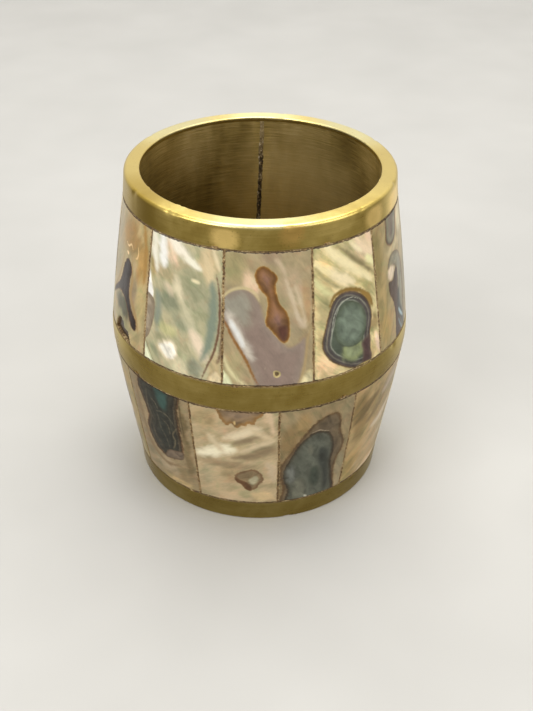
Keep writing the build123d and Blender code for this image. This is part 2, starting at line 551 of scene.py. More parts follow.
def make_hoops():
    # Each hoop's colour is scaled by its brightness: the belt a little darker than the rim, the
    # foot hoop darker still.
    rim_brass = hoop_brass("rim_brass", RIM_LOW, TOP + CLEAR, RIM_HIGHLIGHTS, RIM_REFLECTIONS, rough=0.33)
    belt_brass = hoop_brass("belt_brass", BELT_LOW, BELT_HIGH, brightness=0.97)
    foot_brass = hoop_brass("foot_brass", -CLEAR, FOOT_TOP, brightness=0.67)
    hoop("rim_hoop", [
        wall_corner(RIM_LOW, LINER_DEPTH),
        wall_corner(RIM_LOW, 0, 0.12),
        wall_corner(TOP, 0, 0.85),
        wall_corner(TOP, WALL, 0.35),
        wall_corner(LINER_TOP, WALL),
        wall_corner(LINER_TOP, LINER_DEPTH),
    ], rim_brass, RIM_NICKS, 1)
    hoop("middle_hoop", [
        wall_corner(BELT_LOW, LINER_DEPTH),
        wall_corner(BELT_LOW, 0, 0.15),
        (BELT_RADIUS - 0.08, BELT_MIDDLE - 2.0, 0),
        (BELT_RADIUS, BELT_MIDDLE, 0),
        (BELT_RADIUS - 0.08, BELT_MIDDLE + 2.0, 0),
        wall_corner(BELT_HIGH, 0, 0.15),
        wall_corner(BELT_HIGH, LINER_DEPTH),
    ], belt_brass, BELT_DENTS, 2)
    hoop("foot_hoop", [
        wall_corner(0, LINER_DEPTH),
        wall_corner(0, 0, 0.5),
        wall_corner(FOOT_TOP, 0, 0.12),
        wall_corner(FOOT_TOP, LINER_DEPTH),
    ], foot_brass, FOOT_DENTS, 3)


LINER_STEPS = 240
LINER_ROWS = 70
SEAM_LEAN = math.radians(4.2)     # the seam leans this far round the cup, rim to foot
SEAM_AT = math.radians(179.8)
SEAM_HALF_WIDTH = 0.6
SEAM_PROUD = 0.42      # the most that the braze stands out of the liner


def seam_angle(height):
    """Angle of the liner's seam from the front, at a height."""
    return SEAM_AT + SEAM_LEAN * (1 - height / TOP)


def make_liner():
    """Rolled sheet with a butt joint at the back, slightly uneven inside."""
    heights = list(np.linspace(0, LINER_TOP, LINER_ROWS))
    bm = bmesh.new()
    inner = [bm.verts.new((0, 0, height)) for height in heights]
    outer = [bm.verts.new((0, 1, height)) for height in reversed(heights)]
    section = inner + outer
    sheet_edges = [bm.edges.new(pair) for pair in zip(section, section[1:] + section[:1])]
    grown = {"geom": section + sheet_edges}
    for _ in range(LINER_STEPS):
        edges = [part for part in grown["geom"] if isinstance(part, bmesh.types.BMEdge)]
        grown = bmesh.ops.extrude_edge_only(bm, edges=edges)
        fresh = [part for part in grown["geom"] if isinstance(part, bmesh.types.BMVert)]
        bmesh.ops.translate(bm, verts=fresh, vec=(1, 0, 0))
    ends = [edge for edge in bm.edges if len(edge.link_faces) == 1]
    bmesh.ops.holes_fill(bm, edges=ends)
    for vert in bm.verts:
        share, depth, height = vert.co.x / LINER_STEPS, vert.co.y, vert.co.z
        seam = seam_angle(height)
        gap = SEAM_HALF_WIDTH / wall_radius(height)
        angle = seam - math.tau + gap + share * (math.tau - 2 * gap)
        wave = 0.10 * ring_noise(angle, 14, height / 12)
        wave += 0.04 * ring_noise(angle, 4, height / 3 + 5)
        inset = WALL - wave * smooth(LINER_TOP - height, 0, 6) if depth == 0 else LINER_DEPTH
        vert.co = on_wall(angle, height, inset)
    finish_piece(bm, "liner", liner_brass(), ["liner"])


def make_seam():
    """Bead of braze in the liner's joint, proud in places and pitted in others."""
    bm = bmesh.new()
    bmesh.ops.create_grid(bm, x_segments=8, y_segments=300, size=1)
    bmesh.ops.solidify(bm, geom=bm.faces[:], thickness=1)
    for vert in bm.verts:
        across, height, depth = vert.co.x, (vert.co.y + 1) / 2 * LINER_TOP, abs(vert.co.z)
        lump = noise.fractal(Vector((across * 0.8, height / 1.3, 3)), 0.7, 2.0, 3)
        wide = 0.76 + 0.26 * noise.noise(Vector((across * 0.3 + 4, height / 2.5, 8)))
        angle = seam_angle(height) + across * wide / wall_radius(height)
        crown = 0.16 * (1 - across * across) + 0.20 * lump * (1 - across ** 4)
        inset = WALL + min(crown, SEAM_PROUD) - 0.05 if depth < 0.5 else LINER_DEPTH + 0.05
        vert.co = on_wall(angle, height, inset)
    finish_piece(bm, "brazed_seam", seam_braze(), ["brazed_seam"])


def make_foot_disc():
    """Brass disc brazed in flush with the foot."""
    radius = RIM_RADIUS - WALL
    rings = [
        (0.001, DISC_TOP), (radius * 0.5, DISC_TOP), (radius + 0.12, DISC_TOP),
        (radius, 0), (radius * 0.5, 0), (0.001, 0),
    ]
    bm = bmesh.new()
    verts = [bm.verts.new((x, 0, y)) for x, y in rings]
    edges = [bm.edges.new(pair) for pair in zip(verts, verts[1:])]
    bmesh.ops.spin(bm, geom=verts + edges, axis=(0, 0, 1), cent=(0, 0, 0),
                   angle=math.tau, steps=180, use_merge=True)
    bmesh.ops.remove_doubles(bm, verts=bm.verts, dist=0.01)
    # The disc inside the bottom is darker than any hoop.
    brass = hoop_brass("disc_brass", -CLEAR, DISC_TOP + CLEAR, brightness=0.28, rough=0.52)
    finish_piece(bm, "foot_disc", brass, ["foot_disc"])


# ---------------------------------------------------------------------------
# Mother-of-pearl
#
# A tile's own coordinates are millimetres: across from its centre line, to the
# right as seen from outside, and up from the middle of its course. A mark is a
# natural feature of the shell or a painted highlight, one of the soft pale bars of
# the nacre's sheen, drawn as a closed loop or as a line of a width. Its stops are
# (depth inside its outline, colour). A sheen is a soft patch of colour, partly the
# shell's own colour and partly painted sheen: (colour, across, up, half width,
# half height, turn in degrees, strength).
# Colours are red, green and blue as seen, from 0 to 255.
# ---------------------------------------------------------------------------

Mark = namedtuple("Mark", "points stops width blur ragged sink clouds")
Look = namedtuple("Look", "base sheens marks grain ripple lift", defaults=[1.0])


def loop(points, stops, blur=0.14, ragged=0.35, sink=0.0, clouds=1.6):
    stops = [(depth, hue(*colour)) for depth, colour in stops]
    return Mark(points, stops, 0, blur, ragged, sink, clouds)


def line(points, colour, width, blur=0.16, ragged=0.3, sink=0.0):
    return Mark(points, [(0, hue(*colour))], width, blur, ragged, sink, 0)


LOOKS = {}

# Gold-brown shell with a dark cleft and a broken corner
LOOKS["cleft"] = Look(
    base=(184, 167, 126), grain=62, ripple=0.45,
    sheens=[
        ((168, 154, 122), -7, 8, 5.5, 15, 0, 0.9),
        ((160, 126, 70), 2, 12, 6, 6, 0, 0.9),
        ((190, 152, 88), 8.5, 7, 2.6, 7, 0, 0.9),
        ((198, 177, 128), 8, 15, 3.5, 3, 0, 0.8),
        ((196, 178, 128), 9.3, -3, 2.2, 7, 0, 0.9),
        ((153, 136, 108), 5, -3, 2, 5, -8, 0.9),
        ((88, 88, 66), 0, -8.5, 6, 3.5, 0, 1.0),
        ((154, 147, 110), -1, -12.5, 6.5, 2, 0, 0.9),
        ((206, 184, 134), 6, -15.8, 3.2, 1.2, 0, 0.9),
    ],
    marks=[
        line([(7.4, 19), (9.6, 10), (9.8, 2)], (176, 138, 76), 1.5, blur=0.6, ragged=0.8),
        line([(3.4, 6.4), (4.6, 1), (4.2, -3.6), (7.4, -8), (9, -12)],
             (172, 142, 92), 1.2, blur=0.5),
        line([(-1, 5.6), (-3.4, -0.6), (-7, -5.6), (-11.6, -9.6)], (166, 140, 98), 1.0, blur=0.5),
        loop([(2, 5.4), (4.0, 3.4), (3.4, 0), (3.5, -4), (5.2, -7), (7.8, -9.4), (7.8, -12),
              (5.4, -11.6), (2.8, -8), (0.6, -5.8), (-3, -5.6), (-7, -8), (-12, -11), (-7.6, -6.6),
              (-4, -3.6), (-2, -0.6), (-1.2, 2), (0.3, 4.6)],
             [(0, (104, 66, 34)), (0.45, (50, 34, 26)), (1.4, (42, 32, 30)), (2.2, (54, 46, 46))],
             blur=0.25, ragged=1.3),
        line([(-0.6, 9.2), (1, 8.6), (2.6, 9.6), (3.6, 8.4)], (236, 204, 150), 0.5),
        line([(0.4, 6.9), (1.6, 6.6)], (246, 216, 166), 0.8),
        line([(6, 10.6), (6.4, 8.8), (6, 7.4), (4.9, 6.9)], (232, 198, 140), 0.5),
        loop([(-4.8, -17), (-3.8, -14.6), (-1.6, -12.6), (0.8, -12.9), (2, -14.2), (4.2, -14.4),
              (5, -18), (-4.8, -18)],
             [(0, (96, 72, 40)), (0.5, (70, 50, 26)), (1.5, (48, 34, 18))], sink=0.75),
    ])

# Silver shell with painted cream highlight bars, a blue-green right edge and a crumbled margin
LOOKS["silver"] = Look(
    base=(186, 181, 148), grain=-52, ripple=0.55, lift=1.05,
    sheens=[
        ((236, 228, 208), -8.6, 14, 1.6, 4, 0, 0.95),
        ((231, 204, 176), -3.2, 14, 2.2, 3.5, 18, 0.9),
        ((204, 185, 146), 6.5, 13.5, 3.2, 4, 0, 0.9),
        ((180, 158, 111), -8.8, 8.3, 1.3, 2.6, 0, 0.95),
        ((196, 178, 142), -4.5, 7.5, 3.5, 2.2, 0, 0.8),
        ((148, 152, 128), -3.6, 1.2, 3.6, 3.2, -20, 0.95),
        ((156, 156, 126), 2.2, 8.0, 3.6, 4.0, -40, 0.75),
        ((160, 160, 132), 5, 3.5, 4.5, 4.5, -40, 0.85),
        ((168, 168, 136), 6, -2, 3.2, 4.5, 0, 0.7),
        ((142, 150, 126), 0.5, -3.4, 3.2, 2.2, -40, 0.7),
        ((146, 150, 126), -7, -4, 1.5, 6, 0, 0.75),
        ((204, 200, 150), -3.4, -6.4, 3.2, 1.9, 0, 0.9),
        ((156, 150, 118), -6.3, -8.8, 1.8, 1.4, 0, 0.6),
        ((220, 212, 180), 0.8, -15, 2.6, 3, 0, 0.85),
        ((148, 152, 132), 4.8, -14.4, 2.4, 2.8, 10, 0.95),
        ((152, 156, 130), -7.4, -13.2, 3.4, 1.1, -40, 0.7),
        ((188, 170, 130), 9.8, -13, 1.6, 4, 0, 0.8),
    ],
    # The white and cream bars, the white teardrop at the left edge and the white patch low down are
    # painted highlights.
    marks=[
        line([(-6.4, 20), (-5.9, 14), (-5.2, 9.4)], (255, 254, 248), 2.6, blur=1.0),
        line([(-8.6, 17), (-8.4, 12), (-7.4, 7.6)], (250, 246, 228), 1.4, blur=0.9),
        line([(-4.6, 18.4), (-1.6, 15.6), (2.4, 13.2)], (255, 247, 228), 2.7, blur=1.1),
        line([(0.2, 13.2), (2.4, 12.6), (4.8, 11.4)], (254, 250, 228), 1.9, blur=0.8),
        line([(5, 16), (7, 12), (7.6, 8)], (226, 206, 164), 2.0, blur=1.0),
        line([(-5.4, 5.8), (-3.4, 4.4), (-2.4, 3)], (226, 208, 178), 1.5, blur=1.0),
        line([(-1.8, 8), (-0.8, 5), (0.8, 2)], (236, 224, 190), 2.0, blur=1.2),
        line([(0.4, 2.6), (2.4, -1.6), (5, -5)], (208, 202, 168), 2.2, blur=1.2),
        line([(2.6, 8.5), (4.9, 8.1)], (244, 232, 190), 0.9, blur=0.4),
        line([(7.6, 17), (9.6, 12)], (236, 220, 182), 0.8, blur=0.5),
        loop([(-6.6, -11.2), (-4.2, -9.6), (-1.8, -9.2), (-0.4, -11.4), (-1, -13.8), (-3.6, -14.2)],
             [(0, (238, 222, 190)), (1.0, (255, 251, 236))], blur=0.8, ragged=0.8),
        line([(3.4, -4.8), (5.6, -8), (7.2, -11.4)], (246, 226, 198), 3.2, blur=1.3),
        line([(-7.4, 3), (-6.6, -1), (-7, -6)], (146, 154, 138), 1.8, blur=1.2),
        line([(7.9, 9), (8.6, 4), (8.6, -2), (7.8, -7.5), (6.2, -12)],
             (136, 148, 130), 2.4, blur=0.9),
        line([(8.8, 11), (9.9, 6), (10.3, 0), (10.1, -5), (9.2, -9.6), (7.9, -13), (6.4, -17.5)],
             (112, 82, 60), 0.65, blur=0.25, ragged=0.6, sink=0.06),
        line([(11.0, 4), (11.1, -8), (10.4, -12)], (132, 108, 82), 0.9, blur=0.5, ragged=1.2),
        loop([(-9.9, 7), (-9.2, 4.4), (-8.4, 2), (-8.7, 0.2), (-10.6, 0.4), (-10.8, 5)],
             [(0, (240, 232, 206)), (0.5, (255, 254, 248))], blur=0.2),
        loop([(-11.4, 0.2), (-8.5, 0.2), (-7.9, -2.6), (-8.6, -6.8), (-10.2, -10.8), (-12, -10.8)],
             [(0, (138, 112, 92)), (0.35, (148, 134, 112)), (1.4, (162, 148, 128))], blur=0.2),
        loop([(-10.8, -12.4), (-9.6, -14.2), (-8.4, -15.8), (-6.8, -18.2), (-12, -18.2),
              (-12, -12.5)],
             [(0, (120, 108, 74)), (0.3, (212, 214, 176)), (1.0, (240, 243, 208))], blur=0.15),
        loop([(8.2, -17.8), (8.6, -15), (10, -13.6), (11.6, -15), (11.9, -18)],
             [(0, (190, 168, 128)), (0.8, (226, 208, 168))], blur=0.4, ragged=0.8),
    ])

# Rosy grey shell with a brown resin-filled hole like a peanut
LOOKS["peanut"] = Look(
    base=(174, 158, 124), grain=-58, ripple=0.4,
    sheens=[
        ((172, 160, 118), -7.5, 13.5, 3.2, 4.5, 0, 0.9),
        ((228, 200, 168), -3.8, 9.3, 1.9, 3.6, 22, 0.95),
        ((168, 148, 124), 1, 15.8, 2.6, 2.2, 0, 0.8),
        ((186, 166, 136), 6.5, 8, 3.4, 7, 25, 0.9),
        ((184, 158, 116), 9.2, 3, 1.6, 7, 0, 0.8),
        ((168, 152, 124), 7, -1, 2.4, 3.5, 0, 0.7),
        ((182, 170, 128), -8.2, -12, 2.6, 4.5, 0, 0.7),
        ((168, 150, 118), 9.8, -8, 1.2, 5, 0, 0.8),
    ],
    marks=[
        loop([(-12, 4), (-9.6, 6.6), (-6.6, 8.3), (-3.6, 7.4), (-1.4, 4.4), (-0.4, 0.5), (2, -3),
              (5, -6.6), (7.4, -6), (9.2, -4.8), (9.4, -9), (8.6, -13.4), (7, -18.5), (-1.6, -18.5),
              (-3.6, -13.2), (-5.4, -9.2), (-7.4, -5.6), (-9.6, -1.6), (-12, 1)],
             [(0, (160, 142, 120)), (0.8, (152, 136, 124)), (2.6, (148, 129, 118))],
             blur=0.45, clouds=0.5),
        loop([(-12, 3), (-9.6, 6.2), (-6.6, 7.8), (-4, 6), (-3.4, 2), (-5, -1.6), (-8, 0.5)],
             [(0, (150, 140, 124)), (1.8, (158, 153, 138))], blur=1.6, clouds=0.4),
        line([(-11.4, 3.8), (-9.8, 6.4), (-7.6, 8), (-5, 8.4), (-3, 7.4), (-1.6, 5)],
             (208, 192, 146), 0.7, blur=0.35),
        line([(-9.8, 2.2), (-8.2, -0.4), (-6.7, -3.6), (-5, -6.8), (-3.2, -9.8)],
             (214, 206, 192), 2.2, blur=1.3),
        line([(-8.8, 0.2), (-7, -3.2), (-5.4, -6.6)], (240, 242, 240), 0.9, blur=0.7),
        line([(4.2, 10.6), (6, 5.4), (7.4, 0)], (214, 196, 166), 0.8, blur=0.6),
        line([(6.4, 9), (8, 4), (9.4, -1.6)], (216, 198, 166), 0.9, blur=0.7),
        line([(2, 15.6), (3.6, 13), (5, 8.6)], (206, 186, 156), 0.8, blur=0.6),
        line([(-11.6, 1.4), (-9.9, -0.6), (-8.2, -4.2), (-6.2, -7.8), (-4.8, -10.4), (-3.6, -13.6),
              (-1.7, -17.5)], (140, 96, 40), 0.75, blur=0.3, ragged=0.6, sink=0.04),
        line([(-10.9, -8), (-9.4, -12.4), (-7.2, -15.4), (-5, -17)],
             (232, 222, 174), 0.8, blur=0.7),
        loop([(-11.6, -13), (-9.8, -14), (-8.6, -16), (-8, -18.4), (-12, -18.4)],
             [(0, (206, 204, 160)), (0.8, (232, 234, 192))], blur=0.4),
        line([(6.6, 2.6), (7.6, 0.4), (9, -2.4)], (212, 196, 170), 0.9, blur=0.7),
        line([(10.8, -2), (9.9, -5), (9.5, -10), (8.9, -14), (7.4, -17.4)],
             (180, 156, 112), 0.5, blur=0.4),
        loop([(8.2, -18.4), (8.8, -15), (11, -13.6), (12, -18.4)],
             [(0, (206, 188, 140)), (0.9, (234, 222, 176))], blur=0.5),
        loop([(-2.9, 11.2), (-2.4, 13.2), (-0.9, 14), (0.9, 13), (2.5, 11.2), (2.1, 9), (2.5, 6.4),
              (3.2, 4.4), (4.9, 2), (5.5, -1), (5.5, -3.6), (4.9, -5.4), (3.6, -5.5), (2.4, -4.2),
              (0.9, -2.3), (-0.5, -0.4), (-0.2, 2), (0, 4.6), (-0.3, 6.4), (-1.6, 8)],
             [(0, (188, 160, 104)), (0.26, (146, 102, 42)), (0.6, (116, 78, 36)),
              (1.6, (132, 96, 66)), (2.6, (132, 98, 84))], blur=0.14, ragged=0.7, sink=0.10),
        loop([(2.4, -1.5), (4.6, -1), (5, -3.4), (4.2, -5.3), (2.8, -4)],
             [(0, (96, 64, 46)), (1, (84, 52, 40))], blur=0.7),
        loop([(1.6, -13), (2.4, -12.8), (3.3, -13.4), (3.2, -14.4), (2.3, -14.8), (1.6, -14.2)],
             [(0, (178, 164, 116)), (0.32, (170, 152, 104)), (0.5, (92, 76, 50))],
             blur=0.12, ragged=0.2, sink=0.18),
        line([(-0.3, -11.6), (-0.8, -13.2)], (186, 176, 150), 0.16, blur=0.1),
        line([(-1.0, -13.2), (-1.2, -14.4)], (180, 168, 142), 0.14, blur=0.1),
    ])

# Yellow-green shell with painted cream highlight bars and a ringed green eye
LOOKS["eye"] = Look(
    base=(210, 197, 150), grain=-45, ripple=0.85, lift=1.12,
    sheens=[
        ((238, 218, 160), -6.6, 12, 2.8, 2.6, -40, 0.95),
        ((192, 178, 132), -6.2, 6.8, 3.2, 2.2, -40, 0.8),
        ((168, 160, 120), -7, 0.5, 2.2, 4.5, 0, 0.95),
        ((170, 160, 124), 2.4, 12.6, 5.2, 1.3, -48, 0.9),
        ((214, 190, 158), 5.6, 14, 3.2, 3.4, -30, 0.8),
        ((200, 186, 134), 5, 4.5, 3.6, 1.8, -30, 0.7),
        ((150, 124, 68), 5.6, 0.2, 2.8, 1.6, -50, 0.9),
        ((146, 128, 88), 8.2, -7, 1.8, 2.6, 0, 0.9),
        ((226, 198, 158), -7.2, -14, 3.4, 3.4, 0, 0.95),
        ((178, 160, 120), -8.4, -7, 1.2, 3.4, 0, 0.7),
        ((190, 166, 118), 6.8, -14.5, 1.6, 3, 0, 0.7),
    ],
    # The cream, white and pink bars are painted highlights.
    marks=[
        line([(-7.4, 19.4), (-3, 13.8), (1.4, 10), (7.6, 4.6)], (252, 238, 190), 2.3, blur=0.9),
        line([(-6.4, 11.4), (-2, 8.2), (1.8, 6)], (252, 236, 194), 2.4, blur=0.9),
        line([(-9.8, 9.8), (-7.4, 6.8), (-4.8, 4.6)], (224, 220, 164), 1.5, blur=0.7),
        line([(-10, 14.4), (-7.4, 11.8), (-4.6, 9.8)], (250, 234, 180), 1.5, blur=0.7),
        line([(-3.4, 17.2), (0.6, 13.2), (4.6, 9.6), (9, 5.8)], (142, 130, 92), 1.1, blur=0.6),
        line([(-9, 12.4), (-6, 8.6), (-2, 5.6)], (158, 150, 108), 0.9, blur=0.6),
        line([(1.6, 18.6), (5, 14), (9.2, 10.6)], (250, 226, 190), 2.6, blur=1.0),
        line([(5.6, 18.6), (8, 15), (10.4, 12.4)], (246, 214, 182), 1.6, blur=0.8),
        line([(5.8, 11.4), (8.8, 8.4)], (252, 246, 190), 1.6, blur=0.7),
        line([(0.8, 16.6), (4.6, 12.8)], (255, 240, 200), 1.0, blur=0.6),
        line([(9.4, 1.6), (9.7, -1.6), (10.3, -6)], (250, 230, 184), 1.1, blur=0.45),
        loop([(8.2, -9.6), (10.2, -11), (11.4, -16.5), (10, -16.4), (8.4, -13.4)],
             [(0, (236, 210, 158)), (0.9, (252, 222, 192))], blur=0.5),
        line([(-5.8, 1.6), (-4.4, 4), (-1.8, 4.9), (1.6, 4.2), (4.2, 2.7), (6.4, 0.6), (8, -2.8)],
             (142, 114, 54), 1.2, blur=0.35, ragged=0.9),
        line([(3.8, 2.7), (5.8, 1.2), (7.2, -0.8)], (160, 128, 62), 1.2, blur=0.5, ragged=0.9),
        loop([(-8.2, -8), (-6.6, -1.6), (-4.8, 2.8), (-2.2, 4.5), (1, 4.1), (4, 2.2), (6.4, -1),
              (7.4, -4.6), (6.6, -9.4), (6.6, -13.2), (6.9, -16.9), (3.4, -17.3), (0, -16.6),
              (-3.6, -14.6), (-6.6, -12)],
             [(0, (140, 108, 62)), (0.3, (96, 82, 66)), (0.8, (84, 76, 78)),
              (1.15, (124, 120, 106)), (1.5, (80, 74, 74)), (2.0, (86, 84, 80)),
              (2.3, (148, 152, 138)), (2.6, (88, 98, 84))], blur=0.18, ragged=0.5),
        loop([(-2.8, -10.4), (-1, -8.8), (3, -9.8), (4.8, -11.6), (3.6, -14.2), (0.6, -15),
              (-2.4, -13.4)],
             [(0, (118, 126, 94)), (1, (142, 152, 108)), (2, (138, 148, 112))], blur=0.8),
        loop([(3.6, -10.6), (6.4, -9.8), (6.6, -13.4), (6.7, -16.6), (3.4, -17), (3.9, -13.4)],
             [(0, (104, 88, 78)), (1, (82, 62, 60))], blur=0.6),
        loop([(-4.7, -4.6), (-3.9, -0.8), (-2, 1.2), (0.6, 1.5), (3.2, 0), (4.9, -2.8), (5.3, -6),
              (4.4, -8.8), (2.6, -10.4), (0.2, -10.6), (-2.4, -9.6), (-4.2, -7.4)],
             [(0, (84, 92, 74)), (0.5, (98, 110, 92)), (1.6, (114, 128, 112)),
              (3.6, (120, 134, 118))], blur=0.25, ragged=0.25),
        line([(-5.6, -9), (-5.4, -5), (-4.5, -0.8), (-2.6, 1.7), (0.4, 2.5), (3.4, 1), (5.6, -2)],
             (176, 180, 164), 0.28, blur=0.14, ragged=0.2),
        line([(-6.9, -10), (-6.6, -5.4), (-5.6, -1)], (140, 130, 112), 0.24, blur=0.14, ragged=0.2),
        line([(1, -17.2), (4, -17.0), (7.6, -17.2)], (214, 192, 116), 0.8, blur=0.4),
    ])

# Tan shell with a grey oval at the top and a long dark flaw
LOOKS["ovals"] = Look(
    base=(170, 154, 112), grain=70, ripple=0.6,
    sheens=[
        ((146, 132, 84), -9.5, 9, 3, 8, 0, 0.9),
        ((176, 156, 108), -8, -2, 2.8, 7, 0, 0.9),
        ((178, 154, 100), -7, -11, 3.2, 5, 0, 0.9),
        ((196, 184, 142), 0, 8.2, 5, 1.2, 0, 0.8),
        ((232, 218, 184), 5.5, 13.5, 2.6, 4, 0, 0.9),
        ((170, 156, 116), 8, 6, 4, 6, 0, 0.8),
        ((140, 132, 104), 8.4, -6, 4, 10, 0, 0.8),
    ],
    marks=[
        loop([(-3.4, 18.5), (-4.4, 14), (-4.6, 11.4), (-2.8, 9.5), (-0.4, 9.4), (2, 11.6),
              (2.8, 18.5)],
             [(0, (138, 98, 46)), (0.5, (96, 78, 52)), (1.3, (132, 130, 106)),
              (2.6, (112, 98, 80))], blur=0.3),
        loop([(-4.6, 4), (-3, 6.6), (0, 7), (3.5, 5.2), (5.2, 1), (5.6, -8), (5.2, -18), (-1, -18),
              (-0.6, -9), (0.2, -3), (0, 2.6), (-2.8, 3.6)],
             [(0, (108, 84, 50)), (0.5, (128, 118, 92)), (1.2, (142, 136, 110)),
              (2.4, (128, 126, 108))], blur=0.3, ragged=0.6),
        loop([(-4.8, 3), (-2.6, 4), (-0.4, 2.8), (-1.6, 0.6), (-4.2, 0.8)],
             [(0, (206, 186, 156)), (1, (216, 198, 172))], blur=0.6),
        loop([(-4.4, 0.2), (-2, 0.1), (0, 2.4), (1.6, 1), (1.1, -5), (0.7, -9), (2.2, -13),
              (3.4, -18), (-1.4, -18), (-1.6, -10), (-2.6, -6), (-4.4, -3)],
             [(0, (122, 90, 56)), (0.4, (72, 52, 34)), (1.4, (82, 62, 48))], blur=0.25, ragged=0.9),
        line([(1.6, -4), (1.4, -9.5), (3.6, -13), (5, -17)], (62, 66, 62), 2.6, blur=0.7),
        line([(0.9, -9.6), (2.4, -11.6), (4.8, -13.8)], (166, 190, 196), 0.9, blur=0.4),
        line([(0.4, -12.4), (2, -15), (4, -17.4)], (120, 140, 142), 0.7, blur=0.4),
        line([(5.4, 3), (6.2, -6), (5.8, -17)], (104, 78, 46), 0.8, blur=0.4, ragged=0.8),
    ])

# Brown-grey shell almost filled by a black-green flaw
LOOKS["dark_flaw"] = Look(
    base=(160, 142, 110), grain=30, ripple=0.6,
    sheens=[
        # The pale patch at the left edge is a painted highlight.
        ((206, 204, 176), -12.6, -3, 2.6, 9, 0, 0.9),
        ((146, 127, 94), -8.4, 6, 2.6, 10, 0, 0.9),
        ((150, 132, 102), -7, -8, 3, 4, 0, 0.7),
        ((174, 158, 130), 0.5, -11, 5.5, 3, 0, 0.9),
        ((154, 134, 98), 6.5, -12, 2.5, 3, 0, 0.8),
        ((206, 180, 132), 3.6, -16, 6, 1.3, 0, 0.9),
        ((134, 114, 80), 9.4, -4, 1.4, 9, 0, 0.8),
        ((118, 100, 66), 9.6, 8, 1.3, 8, 0, 0.8),
    ],
    marks=[
        line([(-6.6, 17), (-7.4, 8), (-6.4, 0), (-5.6, -6), (0, -10.4), (6, -9)],
             (142, 118, 84), 1.4, blur=0.7, ragged=0.8),
        loop([(-3.4, 18.5), (-6.2, 15), (-5.6, 12), (-4.2, 8), (-3.6, 5), (-5, 1), (-4.6, -3),
              (-2.5, -6.3), (1, -8), (5, -6.8), (7.4, -5.2), (8.3, 0), (8.2, 6), (8.6, 12),
              (9.2, 18.5)],
             [(0, (124, 94, 62)), (0.35, (92, 68, 44)), (0.8, (60, 48, 34)), (1.3, (86, 78, 62)),
              (1.7, (48, 46, 38)), (3.0, (62, 62, 52)), (3.4, (42, 42, 36)), (4.6, (56, 58, 50)),
              (5.5, (48, 52, 46))], blur=0.25, ragged=2.0),
        loop([(0.6, 18.5), (1, 14), (2.4, 10.6), (4.6, 10.4), (5.6, 13), (5.6, 18.5)],
             [(0, (52, 62, 54)), (1.2, (54, 82, 76))], blur=0.7),
        line([(0.2, 8.4), (2.6, 9.2), (4.8, 8.6), (6.8, 5.6)],
             (104, 100, 82), 0.4, blur=0.25, ragged=0.9),
        line([(0.8, 7.6), (1.2, 3), (2.6, 0), (3.2, -3.6)],
             (96, 92, 76), 0.35, blur=0.25, ragged=1.0),
        line([(7, 5.4), (5.4, 2.6), (5.8, 0), (4.6, -3)],
             (116, 106, 82), 0.4, blur=0.25, ragged=1.0),
        line([(-2.2, 15), (-2.8, 9), (-1.2, 4.4)], (104, 96, 78), 0.35, blur=0.25, ragged=0.9),
        line([(2.2, 6.8), (4.2, 5), (4.4, 1.8)], (102, 96, 78), 0.35, blur=0.25, ragged=1.0),
        line([(-2.4, 2.6), (-1.6, -1.4), (1, -4.6)], (110, 98, 76), 0.35, blur=0.25, ragged=1.0),
        line([(-0.8, 12.4), (0.8, 11.2), (1.4, 9.6)], (128, 120, 98), 0.3, blur=0.25, ragged=1.0),
        loop([(0.8, -7.9), (2.4, -4.7), (5, -3.6), (7.7, -3), (7.4, -5.6), (4.6, -7.1)],
             [(0, (108, 88, 68)), (0.7, (124, 108, 90))], blur=0.3, ragged=0.6),
        line([(8.4, 18), (8.2, 10), (8.6, 4)], (74, 62, 40), 0.5, blur=0.3, ragged=0.6),
        line([(9.6, 18), (9.2, 10), (9.2, 3)], (88, 76, 50), 0.4, blur=0.3, ragged=0.6),
    ])

